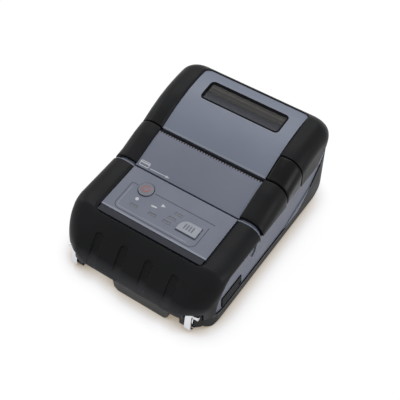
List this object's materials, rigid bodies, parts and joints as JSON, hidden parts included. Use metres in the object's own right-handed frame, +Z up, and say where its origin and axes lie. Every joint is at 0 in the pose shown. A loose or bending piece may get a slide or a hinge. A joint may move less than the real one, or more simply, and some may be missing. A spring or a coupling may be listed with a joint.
{
  "type": "portable receipt printer",
  "caption": "Portable receipt printer with a rubber-edged body, a grey control deck, a card slot, a tear bar and a hinged windowed lid over its paper bucket.",
  "frame": {"origin": "middle of the flat underside's bounding box, on the surface that the printer stands on", "axes": "+X to the right seen from the control-panel end, -Y towards the control-panel end, +Z up"},
  "size_m": [0.082, 0.113, 0.046],
  "materials": {
    "housing_black": "fine grained dark plastic",
    "case_grey": "fine grained blue-grey plastic",
    "bumper_rubber": "soft-touch dark rubber",
    "dark_window": "dark glossy strip",
    "light_pipe": "smoked light pipe",
    "dark_metal": "blackened serrated steel",
    "head_ceramic": "glazed ceramic",
    "aluminium": "milled",
    "steel": "plated sheet and bar",
    "brass": "plain",
    "gear_plastic": "natural acetal",
    "board": "solder mask",
    "key_silver": "satin silver",
    "gloss_black": "polished black",
    "smoke_window": "smoked clear",
    "roller_rubber": "ground rubber",
    "chrome": "bright"
  },
  "bodies": {
    "body": {"base_shell": "housing_black", "upper_case": "case_grey", "mid_cover": "case_grey", "front_bumper": "bumper_rubber", "rail_left": "bumper_rubber", "rail_right": "bumper_rubber", "ir_window": "dark_window", "light_pipes": "light_pipe", "tear_bar": "dark_metal", "print_head": "head_ceramic", "heat_sink": "aluminium", "head_spring": "steel", "mechanism_frame": "steel", "stepper_motor": "steel", "idler_axle": "steel", "main_board": "board", "key_board": "board", "card_reader_head": "steel", "port_block": "steel", "paper_bucket": "housing_black", "hinge_pins": "steel", "battery_contacts": "brass", "strap_pins": "chrome", "case_screws": "steel", "paper_sensor": "gloss_black"},
    "lid": {"lid_shell": "case_grey", "lid_bumper": "bumper_rubber", "lid_window": "smoke_window", "lid_barrel": "housing_black", "platen_bushings": "gear_plastic"},
    "platen": {"platen_roller": "roller_rubber", "platen_shaft": "steel", "platen_gear": "gear_plastic"},
    "idler": {"idler_gear": "gear_plastic"},
    "pinion": {"motor_pinion": "brass"},
    "release": {"release_button": "gloss_black"},
    "power_key": {"power_button": "case_grey"},
    "feed_key": {"feed_button": "key_silver"},
    "flap": {"port_flap": "bumper_rubber"},
    "battery": {"battery_pack": "housing_black"},
    "loop_left": {"strap_loop_left": "chrome"},
    "loop_right": {"strap_loop_right": "chrome"}
  },
  "joints": [
    {"name": "lid_hinge", "type": "hinge", "parent": "body", "child": "lid", "pos_m": [0, 0.0526, 0.036], "axis": [-1, 0, 0], "range_deg": [0, 88]},
    {"name": "platen_spin", "type": "hinge", "parent": "lid", "child": "platen", "pos_m": [0, 0.01705, 0.0314], "axis": [1, 0, 0], "continuous": true},
    {"name": "idler_spin", "type": "hinge", "parent": "body", "child": "idler", "pos_m": [-0.0346, 0.01679, 0.01632], "axis": [1, 0, 0], "continuous": true},
    {"name": "pinion_spin", "type": "hinge", "parent": "body", "child": "pinion", "pos_m": [-0.0346, 0.00321, 0.01585], "axis": [1, 0, 0], "continuous": true},
    {"name": "release_press", "type": "slide", "parent": "lid", "child": "release", "axis": [0, 0, -1], "range_m": [0, 0.0014], "stiffness_N_per_m": 900, "springref_m": -0.0006},
    {"name": "power_press", "type": "slide", "parent": "body", "child": "power_key", "axis": [0, 0, -1], "range_m": [0, 0.0008], "stiffness_N_per_m": 600, "springref_m": -0.0005},
    {"name": "feed_press", "type": "slide", "parent": "body", "child": "feed_key", "axis": [0, 0, -1], "range_m": [0, 0.0007], "stiffness_N_per_m": 600, "springref_m": -0.0005},
    {"name": "flap_hinge", "type": "hinge", "parent": "body", "child": "flap", "pos_m": [0.0399, -0.0396, 0.013], "axis": [0, 0, -1], "range_deg": [0, 80]},
    {"name": "battery_slide", "type": "slide", "parent": "body", "child": "battery", "axis": [0, 0, -1], "range_m": [0, 0.03]},
    {"name": "loop_left_swing", "type": "hinge", "parent": "body", "child": "loop_left", "pos_m": [-0.03164, -0.0516, 0.0106], "axis": [1, 0, 0], "range_deg": [-85, 12]},
    {"name": "loop_right_swing", "type": "hinge", "parent": "body", "child": "loop_right", "pos_m": [0.03164, -0.0516, 0.0106], "axis": [1, 0, 0], "range_deg": [-85, 12]}
  ],
  "couplings": [
    {"joint": "idler_spin", "follows": "platen_spin", "ratio": -0.42857},
    {"joint": "pinion_spin", "follows": "platen_spin", "ratio": 1.5}
  ]
}
